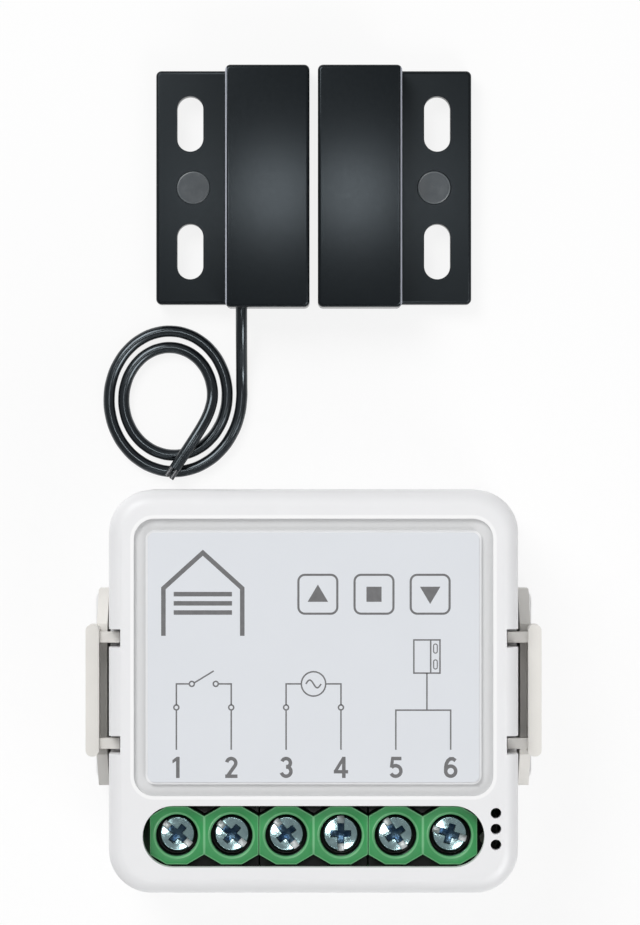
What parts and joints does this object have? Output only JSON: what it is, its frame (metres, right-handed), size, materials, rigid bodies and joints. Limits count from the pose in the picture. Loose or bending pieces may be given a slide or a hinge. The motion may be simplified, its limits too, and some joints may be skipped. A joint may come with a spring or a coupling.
{
  "type": "garage door controller",
  "caption": "Small white garage door controller module with six green screw terminals, and its black wired reed contact and magnet half.",
  "frame": {"origin": "centre of the module's back face", "axes": "+X to the right of the module's front, +Y from the terminals towards the door contact, +Z out of the front"},
  "size_m": [0.0426, 0.0777, 0.018],
  "materials": {
    "case": "satin",
    "latch": "satin",
    "label": "matte",
    "board": "satin",
    "terminal": "satin",
    "zinc": "zinc plated",
    "brass": "plain",
    "winding": "enamelled",
    "iron": "plain",
    "steel": "plain",
    "relay_case": "gloss",
    "tape": "matte",
    "can": "gloss",
    "ceramic": "matte",
    "chip": "matte",
    "light": "gloss",
    "contact": "satin",
    "reed_glass": "clear",
    "cable": "gloss",
    "wire": "satin"
  },
  "bodies": {
    "module": {"front_shell": "case", "rear_shell": "case", "front_label": "label", "main_board": "board", "radio_board": "board", "terminal_block_1": "terminal", "terminal_block_2": "terminal", "terminal_block_3": "terminal", "terminal_tongues": "brass", "relay_contact": "brass", "cable_cores": "brass", "relay_coil": "winding", "relay_frame": "iron", "transformer_core": "iron", "radio_shield": "steel", "reed_leads": "steel", "relay_cover": "relay_case", "varistor": "relay_case", "transformer_winding": "tape", "input_capacitor": "can", "output_capacitor": "can", "fuse_resistor": "ceramic", "bridge_rectifier": "chip", "converter_chip": "chip", "relay_base": "chip", "switch_body": "chip", "status_light": "light", "sensor_housing": "contact", "sensor_base": "contact", "reed_capsule": "reed_glass", "sensor_cable": "cable", "sensor_wires": "wire"},
    "latch_left_body": {"latch_left": "latch"},
    "latch_right_body": {"latch_right": "latch"},
    "screw_1": {"terminal_screw_1": "zinc"},
    "cage_1": {"clamp_cage_1": "brass"},
    "screw_2": {"terminal_screw_2": "zinc"},
    "cage_2": {"clamp_cage_2": "brass"},
    "screw_3": {"terminal_screw_3": "zinc"},
    "cage_3": {"clamp_cage_3": "brass"},
    "screw_4": {"terminal_screw_4": "zinc"},
    "cage_4": {"clamp_cage_4": "brass"},
    "screw_5": {"terminal_screw_5": "zinc"},
    "cage_5": {"clamp_cage_5": "brass"},
    "screw_6": {"terminal_screw_6": "zinc"},
    "cage_6": {"clamp_cage_6": "brass"},
    "plunger": {"switch_plunger": "light"},
    "armature": {"relay_armature": "steel"},
    "reed": {"reed_blade": "steel"},
    "magnet": {"magnet_housing": "contact", "magnet_base": "contact", "bar_magnet": "steel"}
  },
  "joints": [
    {"name": "latch_right_flex", "type": "hinge", "parent": "module", "child": "latch_right_body", "pos_m": [0.01985, 0, 0.00155], "axis": [0, 1, 0], "range_deg": [0, 8], "stiffness_Nm_per_rad": 0.3},
    {"name": "latch_left_flex", "type": "hinge", "parent": "module", "child": "latch_left_body", "pos_m": [-0.01985, 0, 0.00155], "axis": [0, -1, 0], "range_deg": [0, 8], "stiffness_Nm_per_rad": 0.3},
    {"name": "screw_1_turn", "type": "hinge", "parent": "module", "child": "screw_1", "pos_m": [-0.0127, -0.0134, 0.0126], "axis": [0, 0, -1], "range_deg": [0, 1440]},
    {"name": "cage_1_rise", "type": "slide", "parent": "module", "child": "cage_1", "axis": [0, 0, 1], "range_m": [0, 0.0018]},
    {"name": "screw_2_turn", "type": "hinge", "parent": "module", "child": "screw_2", "pos_m": [-0.00762, -0.0134, 0.0126], "axis": [0, 0, -1], "range_deg": [0, 1440]},
    {"name": "cage_2_rise", "type": "slide", "parent": "module", "child": "cage_2", "axis": [0, 0, 1], "range_m": [0, 0.0018]},
    {"name": "screw_3_turn", "type": "hinge", "parent": "module", "child": "screw_3", "pos_m": [-0.00254, -0.0134, 0.0126], "axis": [0, 0, -1], "range_deg": [0, 1440]},
    {"name": "cage_3_rise", "type": "slide", "parent": "module", "child": "cage_3", "axis": [0, 0, 1], "range_m": [0, 0.0018]},
    {"name": "screw_4_turn", "type": "hinge", "parent": "module", "child": "screw_4", "pos_m": [0.00254, -0.0134, 0.0126], "axis": [0, 0, -1], "range_deg": [0, 1440]},
    {"name": "cage_4_rise", "type": "slide", "parent": "module", "child": "cage_4", "axis": [0, 0, 1], "range_m": [0, 0.0018]},
    {"name": "screw_5_turn", "type": "hinge", "parent": "module", "child": "screw_5", "pos_m": [0.00762, -0.0134, 0.0126], "axis": [0, 0, -1], "range_deg": [0, 1440]},
    {"name": "cage_5_rise", "type": "slide", "parent": "module", "child": "cage_5", "axis": [0, 0, 1], "range_m": [0, 0.0018]},
    {"name": "screw_6_turn", "type": "hinge", "parent": "module", "child": "screw_6", "pos_m": [0.0127, -0.0134, 0.0126], "axis": [0, 0, -1], "range_deg": [0, 1440]},
    {"name": "cage_6_rise", "type": "slide", "parent": "module", "child": "cage_6", "axis": [0, 0, 1], "range_m": [0, 0.0018]},
    {"name": "plunger_press", "type": "slide", "parent": "module", "child": "plunger", "axis": [0, 0, -1], "range_m": [0, 0.0003], "stiffness_N_per_m": 800},
    {"name": "armature_rock", "type": "hinge", "parent": "module", "child": "armature", "pos_m": [-0.0149, 0.0108, 0.0132], "axis": [0, 1, 0], "range_deg": [0, 2.8], "stiffness_Nm_per_rad": 0.02},
    {"name": "magnet_travel", "type": "slide", "parent": "module", "child": "magnet", "axis": [1, 0, 0], "range_m": [0, 0.03]},
    {"name": "reed_open", "type": "hinge", "parent": "module", "child": "reed", "pos_m": [-0.0044, 0.053, 0.00323], "axis": [-1, 0, 0], "range_deg": [0, 1.2]}
  ],
  "couplings": [
    {"joint": "screw_1_turn", "follows": "cage_1_rise", "rad_per_m": 13963},
    {"joint": "screw_2_turn", "follows": "cage_2_rise", "rad_per_m": 13963},
    {"joint": "screw_3_turn", "follows": "cage_3_rise", "rad_per_m": 13963},
    {"joint": "screw_4_turn", "follows": "cage_4_rise", "rad_per_m": 13963},
    {"joint": "screw_5_turn", "follows": "cage_5_rise", "rad_per_m": 13963},
    {"joint": "screw_6_turn", "follows": "cage_6_rise", "rad_per_m": 13963},
    {"joint": "reed_open", "follows": "magnet_travel", "rad_per_m": 0.69}
  ]
}
